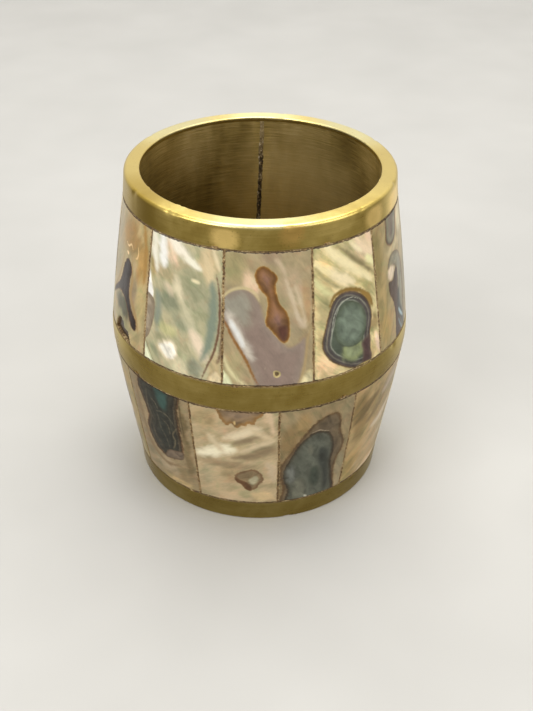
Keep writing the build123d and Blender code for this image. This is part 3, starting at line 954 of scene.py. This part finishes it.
# Cream shell with painted pearly highlight bars, a toothed brown spot and a ring spot
LOOKS["ring_spot"] = Look(
    base=(186, 168, 134), grain=28, ripple=0.55, lift=1.10,
    sheens=[
        ((170, 151, 112), -8.5, 13, 4, 4, 0, 0.8),
        ((182, 165, 130), -7, 7, 4, 2.6, 0, 0.8),
        ((196, 174, 142), -1.8, 9.4, 2.6, 2, 0, 0.8),
        ((222, 204, 168), 3.4, 9.8, 3.6, 1.7, 12, 0.8),
        ((152, 134, 104), -2.5, -2.6, 8, 1.8, 0, 0.85),
        ((148, 132, 102), 6.8, 3.6, 4.4, 2.6, 0, 0.9),
        ((172, 160, 124), 2, 5.4, 2.6, 1.4, 0, 0.7),
        ((176, 164, 132), -8.4, -8, 2.2, 4.5, 0, 0.85),
        ((158, 138, 102), -2, -6, 3, 3, 0, 0.6),
        ((176, 162, 126), 9.4, 12, 1.4, 3.4, 0, 0.8),
        ((216, 188, 154), 7.8, 15.4, 1.1, 2.4, -15, 0.9),
        ((198, 178, 148), 9, -4.2, 1.6, 3.6, 0, 0.9),
        ((206, 182, 146), -2.4, -14.8, 2.6, 1.8, 0, 0.8),
        ((222, 196, 150), 6.4, -14.4, 2.2, 2, 0, 0.9),
    ],
    # The pale cream and white bars are painted highlights.
    marks=[
        line([(-1, 5.2), (3.4, 7.6), (8.6, 9.6)], (148, 130, 100), 1.6, blur=0.9),
        line([(0.6, 2.4), (5, 5), (10, 7)], (220, 200, 164), 1.6, blur=0.9),
        line([(-1.4, 0), (4, 1.4), (9.6, 4.2)], (144, 126, 96), 1.7, blur=1.0),
        line([(-11, -0.8), (-6.8, 1.2), (-3.6, 3), (-0.6, 3.2)], (255, 246, 214), 3.6, blur=1.2),
        line([(-7.4, 7.8), (-5.4, 4.6), (-3.6, 2)], (222, 204, 168), 1.8, blur=1.0),
        line([(-3.2, 7), (0.6, 8.8), (4.4, 11), (6.4, 11.4)], (236, 220, 186), 2.2, blur=1.0),
        line([(3.6, 11.6), (6.6, 9), (9.6, 7.4)], (222, 202, 164), 1.8, blur=1.0),
        line([(7.6, 19), (8.8, 14.4), (9.6, 9)], (222, 196, 160), 1.6, blur=0.8),
        line([(-5, -14), (-1.6, -15.4), (2.4, -16)], (212, 188, 150), 2.0, blur=1.0),
        line([(3.4, -13.4), (6.8, -14.4), (9.6, -15.6)], (220, 194, 148), 2.2, blur=1.0),
        line([(7.6, -1), (8.8, -4.4), (9.4, -9)], (206, 186, 154), 1.7, blur=0.9),
        loop([(-4, 18.5), (-4.3, 15), (-3.3, 13), (-2.2, 11.9), (-1.2, 12.8), (-0.2, 11.6),
              (0.7, 11.5), (1.5, 12.5), (2.5, 12.2), (3.3, 13.2), (4.6, 12.8), (5.3, 14.6),
              (6.8, 16), (7, 18.5)],
             [(0, (150, 116, 70)), (0.5, (138, 104, 58)), (1.1, (136, 112, 80)),
              (3, (142, 120, 96))], blur=0.16, ragged=0.9, sink=0.05),
        line([(-0.4, 13.8), (-0.2, 12.4)], (214, 184, 126), 0.5, blur=0.3),
        loop([(-0.8, -6.6), (-0.2, -8.4), (1.3, -9), (2.2, -10.4), (3, -12), (4.6, -11.4),
              (5.6, -9.6), (6.8, -7.8), (6, -5), (4.2, -3.6), (2, -4.2), (0.2, -5.2)],
             [(0, (132, 104, 72)), (0.5, (126, 100, 72)), (0.9, (142, 122, 90)),
              (1.8, (140, 120, 88))], blur=0.2, ragged=1.3),
        loop([(-0.8, -6.8), (0.4, -8), (2.1, -8.7), (3.5, -10.4), (3.3, -12.2), (2, -11.8),
              (0.8, -9.9), (-0.6, -8.8)],
             [(0, (118, 86, 54)), (0.4, (98, 68, 42))], blur=0.2, ragged=0.6, sink=0.06),
        loop([(2.7, -8), (3.5, -9.8), (4.6, -9.3), (5.5, -7.5), (4.8, -6), (3.7, -6.8)],
             [(0, (156, 144, 112)), (0.5, (176, 168, 138))], blur=0.25),
    ])

# Brown shell with a large slate-blue eye under a brown cap
LOOKS["slate_eye"] = Look(
    base=(150, 133, 100), grain=-65, ripple=0.6, lift=1.12,
    sheens=[
        ((156, 140, 108), -8, 14, 3.4, 3.4, 0, 0.9),
        ((154, 132, 90), -4, 11, 2.4, 4.4, 0, 0.9),
        ((132, 112, 75), -7.4, 6, 2.8, 6, 0, 0.85),
        ((146, 134, 103), 8.4, 12, 2, 6, 0, 0.85),
        ((148, 138, 112), 8.3, -8, 1.8, 5, 0, 0.9),
        ((170, 154, 124), 8.6, -14.6, 1.8, 2.6, 0, 0.85),
        ((108, 90, 60), -9.2, -8, 0.9, 9, 0, 0.8),
        ((136, 112, 78), -9.4, -15, 1.4, 3, 0, 0.7),
    ],
    marks=[
        loop([(-9.2, -3), (-7.8, 0.5), (-5.5, 5), (-3, 9), (-1, 11.5), (2.5, 13.2), (5.2, 13),
              (6.8, 10.5), (7.2, 6), (8.8, 1.5), (8.6, -2), (7.3, -4.5), (6.8, -9), (7.2, -13),
              (6.6, -18.5), (-7.4, -18.5), (-8, -12), (-9.2, -7)],
             [(0, (126, 100, 66)), (0.5, (98, 76, 50)), (1.2, (116, 100, 75)), (3, (104, 90, 70))],
             blur=0.4, ragged=1.5),
        loop([(-6.7, 0), (-5, 4), (-2.5, 7), (0, 8), (3, 7), (4.8, 4), (5.6, 0), (5.2, -5),
              (6, -10), (6.5, -18.5), (-6, -18.5), (-6.6, -13), (-8, -8), (-8, -4)],
             [(0, (58, 44, 32)), (0.5, (72, 66, 52)), (1.1, (90, 92, 80)), (3, (98, 102, 90))],
             blur=0.3, ragged=1.3),
        loop([(-7.4, -5), (-6, -2.6), (-4.6, -5.6), (-5, -9.6), (-7, -9)],
             [(0, (100, 102, 94)), (1, (114, 117, 110))], blur=1.0),
        line([(-1.8, 3.4), (-0.8, 0)], (118, 118, 102), 1.0, blur=0.8),
        loop([(1.4, 1.6), (3.8, 0), (4.6, -6), (5.4, -14), (4, -16), (2.6, -8), (0.8, -2)],
             [(0, (74, 78, 70)), (1, (62, 66, 60))], blur=0.8),
        loop([(-0.8, -6), (1.2, -5.6), (2.6, -10), (1.6, -13.6), (-0.6, -11)],
             [(0, (78, 84, 72)), (1, (68, 76, 66))], blur=0.8),
        loop([(-4.6, -9.6), (-2.8, -9), (-1.4, -13), (-1.6, -18.5), (-5, -18.5)],
             [(0, (106, 107, 92)), (1, (116, 117, 102))], blur=0.9),
        line([(-1.7, 7.9), (0.4, 8.3), (2, 7.6), (3.6, 7)],
             (182, 166, 138), 0.32, blur=0.2, ragged=0.5),
        line([(-1.4, -16), (-0.8, -17.4)], (214, 214, 196), 0.7, blur=0.4),
    ])

# Plain golden-brown shell with painted highlight streaks and a pearly foot
LOOKS["honey"] = Look(
    base=(172, 150, 108), grain=40, ripple=0.72, lift=1.14,
    sheens=[
        ((130, 110, 69), -8, 10, 3.5, 6, 0, 0.9),
        ((142, 120, 78), -6, 3, 3, 6, 0, 0.8),
        ((174, 148, 97), -6, -11, 3.6, 6, 0, 0.9),
        ((146, 126, 86), 0, 9, 3, 5, 0, 0.7),
        ((164, 144, 110), 1, -3, 3.4, 5, 0, 0.8),
        ((184, 167, 140), 5, -0.5, 3.4, 3.2, -25, 0.85),
        ((156, 142, 116), 7.5, 12, 5, 4.5, 0, 0.9),
        ((150, 138, 112), 9.5, -8, 3, 7, 0, 0.7),
        ((204, 178, 138), 1, -15.2, 6, 1.8, -8, 0.8),
        ((190, 168, 132), 2, -6, 6, 9, -30, 0.55),
    ],
    # The pale diagonal streaks are painted highlights.
    marks=[
        line([(-3, -17.2), (0, -16), (4, -15.4), (8.5, -14.4)], (240, 216, 182), 1.0, blur=0.8),
        line([(-9, 4.6), (-5, 8.4), (-1, 12.4)], (126, 106, 66), 2.6, blur=1.2),
        line([(-3.6, 2.6), (0.6, 6), (4.4, 9.6)], (144, 124, 86), 2.2, blur=1.2),
        line([(2, 9.6), (6.6, 12.4), (11, 14.4)], (192, 174, 152), 2.6, blur=1.3),
        line([(-0.6, -1), (4, 0), (8, 2), (11.4, 4.2)], (218, 204, 178), 2.4, blur=1.2),
        line([(2.6, -8.8), (7.6, -6.6), (11.4, -4.6)], (206, 188, 154), 2.2, blur=1.2),
        line([(-5, -13), (1, -11), (7, -9)], (196, 172, 130), 1.8, blur=1.1),
        line([(-10, -5.4), (-9.8, -7.4)], (86, 58, 34), 0.6, blur=0.3, sink=0.1),
    ])
# Each tile's look, with -1 where it is mirrored across and where it is upside down
TILE_LOOKS = {
    "upper_tile_01": ("cleft", 1, 1), "upper_tile_02": ("silver", 1, 1),
    "upper_tile_03": ("peanut", 1, 1), "upper_tile_04": ("eye", 1, 1),
    "upper_tile_05": ("ovals", 1, 1), "upper_tile_06": ("silver", -1, -1),
    "upper_tile_07": ("ring_spot", -1, -1), "upper_tile_08": ("peanut", -1, 1),
    "upper_tile_09": ("honey", 1, -1), "upper_tile_10": ("eye", -1, 1),
    "upper_tile_11": ("silver", 1, -1),
    "lower_tile_01": ("dark_flaw", 1, 1), "lower_tile_02": ("ring_spot", 1, 1),
    "lower_tile_03": ("slate_eye", 1, 1), "lower_tile_04": ("honey", 1, 1),
    "lower_tile_05": ("eye", -1, -1), "lower_tile_06": ("cleft", -1, 1),
    "lower_tile_07": ("ring_spot", -1, 1), "lower_tile_08": ("slate_eye", -1, 1),
    "lower_tile_09": ("honey", -1, -1), "lower_tile_10": ("silver", -1, 1),
    "lower_tile_11": ("ovals", -1, -1),
}


CURVE_STEPS = 7        # places on a curve from one of its points to the next


def curve_through(points, closed):
    """Smooth line through given points, as an array of close points."""
    knots = np.array(points, float)
    if closed:
        ring = np.vstack([knots[-1:], knots, knots[:2]])
    else:
        ring = np.vstack([2 * knots[0] - knots[1], knots, 2 * knots[-1] - knots[-2]])
    share = np.linspace(0, 1, CURVE_STEPS, endpoint=False)[:, None]
    spans = []
    for a, b, c, d in zip(ring, ring[1:], ring[2:], ring[3:]):
        spans.append(0.5 * (2 * b + (c - a) * share + (2 * a - 5 * b + 4 * c - d) * share ** 2
                            + (3 * b - a - 3 * c + d) * share ** 3))
    if not closed:
        spans.append(knots[-1:])
    return np.vstack(spans)


def distance_to_mark(places, mark):
    """How far each place is outside a mark, in millimetres; negative inside it.

    A line is widest at its middle and tapers to both ends.
    """
    closed = mark.width == 0
    path = curve_through(mark.points, closed)
    ends = np.roll(path, -1, axis=0) if closed else path[1:]
    starts = path if closed else path[:-1]
    nearest = np.full(len(places), 1e9)
    inside = np.zeros(len(places), bool)
    for index, (start, end) in enumerate(zip(starts, ends)):
        along = end - start
        offset = places - start
        share = np.clip(offset @ along / max(along @ along, 1e-12), 0, 1)
        gap = np.hypot(*(offset - share[:, None] * along).T)
        at = 2 * (index + share) / len(starts) - 1
        nearest = np.minimum(nearest, gap - mark.width / 2 * np.sqrt(1 - at * at))
        if closed and start[1] != end[1]:
            crosses = (start[1] > places[:, 1]) != (end[1] > places[:, 1])
            reach = start[0] + (places[:, 1] - start[1]) * along[0] / along[1]
            inside ^= crosses & (places[:, 0] < reach)
    return np.where(inside, -nearest, nearest)


SHEEN_MEAN = 0.78      # average of the ripples that multiply the sheen colours


def sheen_colours(places, look, seed):
    """Colour of each place before its marks: the base with its soft patches.

    Places are first dragged along the grain, so a patch has streaked edges.
    """
    grain = math.radians(look.grain)
    along = places @ (math.cos(grain), math.sin(grain))
    beside = places @ (-math.sin(grain), math.cos(grain))
    drag = np.array([1.1 * wander(t / 4, n, 1.8, seed) + 0.5 * wander(t / 3, n, 0.7, seed + 1)
                     for t, n in zip(along, beside)])
    dragged = places + drag[:, None] * (math.cos(grain), math.sin(grain))
    colours = np.tile(hue(*look.base), (len(places), 1))
    for colour, across, up, half_width, half_height, turn, strength in look.sheens:
        angle = math.radians(turn)
        x, y = (dragged - (across, up)).T
        long = (x * math.cos(angle) + y * math.sin(angle)) / half_width
        wide = (y * math.cos(angle) - x * math.sin(angle)) / half_height
        share = strength * smooth(np.hypot(long, wide), 1.3, 0.45)
        colours += share[:, None] * (np.array(hue(*colour)) - colours)
    colours[:, :3] *= look.lift / SHEEN_MEAN
    return colours


def shell(name, look):
    """Polished mother-of-pearl with a look's sheens, marks and grain."""
    skin = Finish("shell_" + name)
    turn = math.radians(look.grain)
    ripple = skin.cloud(skin.map_place("face", (6.5, 2.6), turn), detail=3, roughness=0.5, warp=0.7)
    fine = skin.cloud(skin.map_place("face", (1.8, 0.32), turn), detail=3, roughness=0.65)
    mottle = skin.cloud(skin.map_place("face", (3.6, 2.2), turn), detail=3, roughness=0.5, warp=0.6)
    drift = skin.cloud(skin.map_place("face", (4, 4)), detail=3, warp=0.8)
    speck = skin.cloud(skin.map_place("face"), scale=1.1, detail=4, roughness=0.65)
    # Bright and dark bands along the grain: partly the shell's own banding, partly painted sheen.
    bands = skin.ramp(ripple + 0.22 * (mottle - 0.5) + 0.10 * (fine - 0.5), [
        (0.32, (0.46, 0.50, 0.42, 1)),
        (0.43, (0.66, 0.66, 0.58, 1)),
        (0.50, (0.78, 0.77, 0.73, 1)),
        (0.57, (0.93, 0.87, 0.80, 1)),
        (0.64, (1.0, 0.94, 0.91, 1)),
        (0.72, (1.0, 1.0, 1.0, 1)),
    ])
    plain = (SHEEN_MEAN, SHEEN_MEAN, SHEEN_MEAN, 1)
    bands = skin.blend(look.ripple, plain, bands)
    colour = skin.blend(1.0, skin.attribute("sheen", colour=True), bands, "MULTIPLY")
    colour = skin.blend(drift.rise(0.52, 0.70) * 0.45, colour, (1.0, 0.80, 0.78, 1), "MULTIPLY")
    colour = skin.blend(drift.rise(0.46, 0.30) * 0.45, colour, (0.80, 0.98, 0.88, 1), "MULTIPLY")
    flaw = 0.0
    for index, mark in enumerate(look.marks):
        depth = mark.ragged * (0.5 - speck) - skin.attribute(f"mark_{index}")
        # Soft marks, among them the painted highlight bars, are broken up along the grain.
        if mark.blur > 0.5:
            depth = depth + 2.0 * mark.blur * (mottle - 0.5)
        inside = depth.rise(-mark.blur, mark.blur)
        deepest = max(mark.stops[-1][0], 0.01)
        if len(mark.stops) > 1:
            inner = skin.ramp(depth / deepest, [(at / deepest, tone) for at, tone in mark.stops])
            inner = skin.dim(inner, mark.clouds * (mottle - 0.5) + 1.0)
        else:
            inner = mark.stops[0][1]
        colour = skin.blend(inside, colour, inner)
        if mark.sink:
            flaw = inside.most(flaw)
    colour = skin.dim(colour, 0.80 + 0.22 * fine + 0.18 * speck)
    crumb = skin.cloud(skin.map_place("face"), scale=1.5, detail=4, roughness=0.7)
    side = (0.40 - skin.attribute("side") + 1.2 * (speck - 0.5)).rise(0.0, 0.34)
    end = (0.42 - skin.attribute("end") + 0.9 * (speck - 0.5)).rise(0.0, 0.16)
    crumbs = skin.ramp(crumb, [
        (0.38, hue(98, 72, 42)), (0.50, hue(146, 120, 80)), (0.62, hue(208, 190, 148))])
    colour = skin.blend(side * 0.8, colour, crumbs)
    dirt = skin.ramp(crumb, [
        (0.44, hue(34, 20, 9)), (0.56, hue(62, 42, 21)), (0.70, hue(134, 108, 66))])
    colour = skin.blend(end * 0.9, colour, dirt)
    rim = side.most(end)
    relief = 0.7 * ripple + 0.2 * fine + 0.5 * mottle - 0.4 * rim * speck
    return skin.set(
        Base_Color=colour,
        Metallic=0.15 * (1.0 - flaw),
        Roughness=0.36 + 0.2 * (ripple - 0.5) + 0.2 * rim,
        Coat_Weight=0.2 * (1.0 - rim),
        Coat_Roughness=0.12,
        Normal=skin.bump(relief, 0.00020, 0.6),
    )


EDGE_SPREAD = 0.07     # each side of a tile is this much wider than its straight cut
TILE_COLUMNS = 72
TILE_ROWS = 110
EASING = 1.25          # above 0 crowds the grid's lines towards the tile's edges
WEAR_DEPTH = 0.16      # a tile's outer edge is rubbed down by this much
WEAR_WIDTH = 0.45


def eased(share):
    return math.sin(EASING * share) / math.sin(EASING)


def tile_corners(node):
    """Centre angle and side angles of a CAD tile, at its foot and top, in radians."""
    points = np.array([v.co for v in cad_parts[node].data.vertices]) / MM
    heading = points[:, :2].mean(0)
    centre = math.atan2(heading[0], -heading[1])
    angles = (np.arctan2(points[:, 0], -points[:, 1]) - centre + math.pi) % math.tau - math.pi
    outer = np.hypot(points[:, 0], points[:, 1]) > wall_radius(points[:, 2]) - 0.5
    low, high = points[:, 2].min(), points[:, 2].max()
    foot = angles[outer & (points[:, 2] < low + 0.5)]
    top = angles[outer & (points[:, 2] > high - 0.5)]
    return centre, (foot.min(), foot.max()), (top.min(), top.max()), low, high


def paint(piece, name, values, kind="FLOAT", field="value"):
    """Gives each vertex of a piece a value that its material can read."""
    layer = piece.data.attributes.new(name, kind, "POINT")
    layer.data.foreach_set(field, np.array(values, np.float32).ravel())


def make_tile(node, material, look, across_sign, up_sign, seed):
    """One hand-cut shell plate, bent to the wall, with worn edges and its marks."""
    centre, foot, top, low, high = tile_corners(node)
    middle, half = (low + high) / 2, (high - low) / 2
    bm = bmesh.new()
    bmesh.ops.create_grid(bm, x_segments=TILE_COLUMNS, y_segments=TILE_ROWS, size=1)
    bmesh.ops.solidify(bm, geom=bm.faces[:], thickness=1)
    face_map = bm.loops.layers.uv.new("face")
    places = []
    depths = []
    edges = {"side": [], "end": []}
    for vert in bm.verts:
        u, v = eased(vert.co.x), eased(vert.co.y)
        share = (v + 1) / 2
        left = foot[0] + (top[0] - foot[0]) * share
        right = foot[1] + (top[1] - foot[1]) * share
        height = middle + v * half
        radius = wall_radius(height)
        width = (right - left) / 2 * radius + EDGE_SPREAD
        across = (left + right) / 2 * radius + u * width
        side_wave = 0.10 * wander(height, 0, 3.0, seed + u)
        side_wave += 0.05 * wander(height, 9, 0.8, seed + u)
        end_wave = 0.08 * wander(across, 5, 3.0, seed + v)
        end_wave += 0.05 * wander(across, 7, 0.8, seed + v)
        across += side_wave * abs(u) ** 6
        height += end_wave * abs(v) ** 6
        places.append((across, height - middle))
        depths.append(abs(vert.co.z))
        edges["side"].append((1 - abs(u)) * width)
        edges["end"].append((1 - abs(v)) * half)
    places = np.array(places)
    marked = places * (across_sign, up_sign)
    distances = [distance_to_mark(marked, mark) for mark in look.marks]
    sink = np.zeros(len(places))
    for mark, distance in zip(look.marks, distances):
        if mark.sink:
            sink = np.maximum(sink, mark.sink * smooth(distance, 0.1, -0.35))
    for index, vert in enumerate(bm.verts):
        across, up = places[index]
        height = middle + up
        bow = TILE_CROWN * (1 - (up / half) ** 2)
        gap = min(edges["side"][index], edges["end"][index])
        worn = WEAR_DEPTH * max(0.0, 1 - gap / WEAR_WIDTH) ** 2
        wave = 0.05 * wander(across, up, 8, seed) + 0.022 * wander(across, up, 2.4, seed + 3)
        front = bow + wave - worn - sink[index]
        inset = -front if depths[index] < 0.5 else TILE_DEPTH
        vert.co = on_wall(centre + across / wall_radius(height), height, inset)
    shift = Vector((41.0 * seed, 23.0 * seed))
    bm.verts.index_update()
    for face in bm.faces:
        for corner in face.loops:
            across, up = marked[corner.vert.index]
            corner[face_map].uv = shift + Vector((across, up))
    piece = finish_piece(bm, node, material, [node])
    paint(piece, "sheen", sheen_colours(marked, look, seed), "FLOAT_COLOR", "color")
    for name, gaps in edges.items():
        paint(piece, name, gaps)
    for index, distance in enumerate(distances):
        paint(piece, f"mark_{index}", distance)


def make_tiles():
    shells = {name: shell(name, look) for name, look in LOOKS.items()}
    for seed, (node, (look_name, across_sign, up_sign)) in enumerate(TILE_LOOKS.items(), 1):
        make_tile(node, shells[look_name], LOOKS[look_name], across_sign, up_sign, seed)


# ---------------------------------------------------------------------------
# Resin beds
# ---------------------------------------------------------------------------

RIB_WIDTH = 0.9        # a rib runs a little under the tiles on both sides
RIB_RECESS = 0.10
RIB_ROOT = 0.2         # a rib reaches this far into the core behind it
EDGE_LINE = 0.8        # height of the resin line along a hoop, most of it under the edges


def crumbly_strip(bm, place, columns, rows, seed):
    """Adds a closed strip whose front face is uneven; place gives a point of it."""
    made = bmesh.ops.create_grid(bm, x_segments=columns, y_segments=rows, size=1)
    faces = list({face for vert in made["verts"] for face in vert.link_faces})
    thick = bmesh.ops.solidify(bm, geom=faces, thickness=1)
    added = [face for face in thick["geom"] if isinstance(face, bmesh.types.BMFace)]
    for vert in set(made["verts"]).union(*(face.verts for face in added)):
        u, v, depth = vert.co.x, vert.co.y, abs(vert.co.z)
        vert.co = place(u, v, depth, seed)


def make_bed(course):
    """Resin bed of one course: the core behind the tiles, the ribs and the edge lines."""
    low, high = COURSES[course]
    core_depth = LINER_DEPTH - 0.75
    core = rounded([
        wall_corner(low, LINER_DEPTH), wall_corner(low, core_depth),
        wall_corner(high, core_depth), wall_corner(high, LINER_DEPTH),
    ], longest=12)
    bm = lathe(core, 144)

    def rib(foot_angle, top_angle):
        def place(u, v, depth, seed):
            height = (low + high) / 2 + v * (high - low) / 2
            share = (v + 1) / 2
            angle = foot_angle + (top_angle - foot_angle) * share
            bump = 0.07 * wander(u * 0.5, height, 0.5, seed)
            bump += 0.05 * wander(u, height, 1.7, seed + 2)
            bow = TILE_CROWN * (1 - v * v)
            inset = RIB_RECESS - bow - bump if depth < 0.5 else core_depth + RIB_ROOT
            return on_wall(angle + u * RIB_WIDTH / 2 / wall_radius(height), height, inset)
        return place

    def edge(height):
        def place(u, v, depth, seed):
            angle = math.pi * u * 0.99999
            bump = 0.06 * ring_noise(math.pi / 2 - angle, 0.6, v + seed)
            at = height + v * EDGE_LINE / 2
            inset = RIB_RECESS - bump if depth < 0.5 else core_depth + RIB_ROOT
            return on_wall(angle, at, inset)
        return place

    for number in range(1, TILES_IN_COURSE + 1):
        here = tile_corners(f"{course}_tile_{number:02d}")
        ahead = tile_corners(f"{course}_tile_{number % TILES_IN_COURSE + 1:02d}")
        turn = (ahead[0] - here[0]) % math.tau
        foot = here[0] + (here[1][1] + turn + ahead[1][0]) / 2
        top = here[0] + (here[2][1] + turn + ahead[2][0]) / 2
        crumbly_strip(bm, rib(foot, top), 5, 150, number)
    for height in (low, high):
        crumbly_strip(bm, edge(height), 700, 4, height)
    bmesh.ops.remove_doubles(bm, verts=bm.verts, dist=0.0005)
    name = course + "_bed"
    finish_piece(bm, name, bed_resin(), [name])


# ---------------------------------------------------------------------------
# Floor, light and camera
# ---------------------------------------------------------------------------


FLOOR_RADIUS = 4.0     # metres


def make_floor():
    skin = Finish("floor")
    grain = skin.cloud(skin.object_place(), scale=0.02, detail=2)
    tone = skin.ramp(grain, [(0.3, (0.45, 0.447, 0.435, 1)), (0.7, (0.48, 0.477, 0.465, 1))])
    skin.set(Base_Color=tone, Roughness=0.9, Specular_IOR_Level=0.1)
    bm = bmesh.new()
    bmesh.ops.create_circle(bm, cap_ends=True, segments=128, radius=FLOOR_RADIUS)
    mesh = bpy.data.meshes.new("floor")
    bm.to_mesh(mesh)
    bm.free()
    mesh.materials.append(skin.material)
    floor = bpy.data.objects.new("floor", mesh)
    bpy.context.scene.collection.objects.link(floor)
    floor.visible_glossy = False


LIT_POINT = Vector((0, 0, 0.05))


def make_light(name, at, width, height, power, colour):
    """Lamp at a point, in metres, turned to the middle of the cup."""
    lamp = bpy.data.lights.new(name, "AREA")
    lamp.shape = "RECTANGLE"
    lamp.size, lamp.size_y = width, height
    lamp.energy = power
    lamp.color = colour
    light = bpy.data.objects.new(name, lamp)
    light.location = at
    light.rotation_euler = (LIT_POINT - Vector(at)).to_track_quat("-Z", "Y").to_euler()
    bpy.context.scene.collection.objects.link(light)


def make_world():
    """Soft room: pale behind the cup and above, dim below the front."""
    world = bpy.data.worlds.new("room")
    world.use_nodes = True
    bpy.context.scene.world = world
    sky = Finish("room", tree=world.node_tree)
    way = sky.node("ShaderNodeTexCoord", output="Generated")
    behind = way.part("Y").rise(0.36, 0.58) * way.part("Z").rise(-0.78, -0.32)
    above = way.part("Z").rise(-0.05, 0.35)
    bright = 0.60 * behind + 0.36 * above
    light = (0.26 + bright, 0.235 + bright, 0.20 + 0.97 * bright)
    light = sky.node("ShaderNodeCombineColor", {}, light)
    seen = sky.node("ShaderNodeLightPath", output="Is Camera Ray")
    light = sky.blend(seen, light, (0.62, 0.615, 0.60, 1))
    background = world.node_tree.nodes["Background"]
    sky.feed(background.inputs["Color"], light)
    background.inputs["Strength"].default_value = 1.0


def make_camera():
    """Camera a little above the cup, looking down into its mouth."""
    pitch, roll, distance = math.radians(34.6), math.radians(0.71), 287.1
    aim = Vector((2.05, -6.63, 34.9))
    view = Matrix.Rotation(math.pi / 2 - pitch, 4, "X") @ Matrix.Rotation(roll, 4, "Z")
    lens = bpy.data.cameras.new("camera")
    lens.lens, lens.sensor_width = 52.82, 36.0
    camera = bpy.data.objects.new("camera", lens)
    stand = aim + view.to_3x3() @ Vector((0, 0, distance))
    camera.matrix_world = Matrix.Translation(stand * MM) @ view
    bpy.context.scene.collection.objects.link(camera)
    bpy.context.scene.camera = camera


make_camera()
make_world()
make_floor()
make_light("ceiling", (0.05, 0.15, 0.9), 0.7, 0.7, 7.0, (1.0, 0.985, 0.95))
make_light("window", (-0.55, -0.55, 0.55), 0.5, 0.6, 4.0, (1.0, 0.99, 0.97))
make_light("fill", (0.6, -0.35, 0.35), 0.5, 0.5, 1.6, (1.0, 0.98, 0.95))

make_liner()
make_seam()
make_foot_disc()
make_hoops()
make_bed("upper")
make_bed("lower")
make_tiles()

scene = bpy.context.scene
scene.view_settings.view_transform = "Standard"
